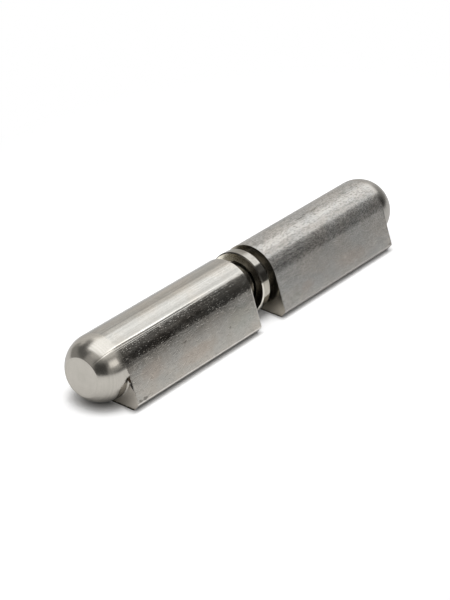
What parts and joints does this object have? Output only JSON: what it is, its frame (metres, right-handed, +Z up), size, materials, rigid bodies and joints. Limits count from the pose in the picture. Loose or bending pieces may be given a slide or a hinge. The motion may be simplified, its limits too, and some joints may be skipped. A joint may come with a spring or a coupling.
{
  "type": "weld on barrel hinge",
  "caption": "Lift-off barrel hinge for welding: teardrop steel leaves with bullet noses turn on a common pin, with a loose spacer ring between them.",
  "frame": {"origin": "on the ground that the hinge lies on, under the middle of its bounding box, halfway between the inner faces of the leaves at rest", "axes": "+X along the pin towards the leaf that holds it, +Z up from the ground that the lower flanks lie on, -Y towards the blunt edge"},
  "size_m": [0.1274, 0.0212, 0.018],
  "materials": {
    "drawn_bar": "satin, drawn along the bar, noses turned",
    "ground_pin": "smooth ground",
    "turned_ring": "bright turned"
  },
  "bodies": {
    "pin_leaf": {"pin_leaf": "drawn_bar", "hinge_pin": "ground_pin"},
    "spacer_ring": {"spacer_ring": "turned_ring"},
    "lift_off_leaf": {"lift_off_leaf": "drawn_bar"}
  },
  "joints": [
    {"name": "leaf_swing", "type": "hinge", "parent": "pin_leaf", "child": "spacer_ring", "pos_m": [0, 0.00156, 0.009], "axis": [1, 0, 0], "continuous": true},
    {"name": "leaf_lift_off", "type": "slide", "parent": "spacer_ring", "child": "lift_off_leaf", "axis": [-1, 0, 0], "range_m": [-0.00465, 0.036]}
  ]
}
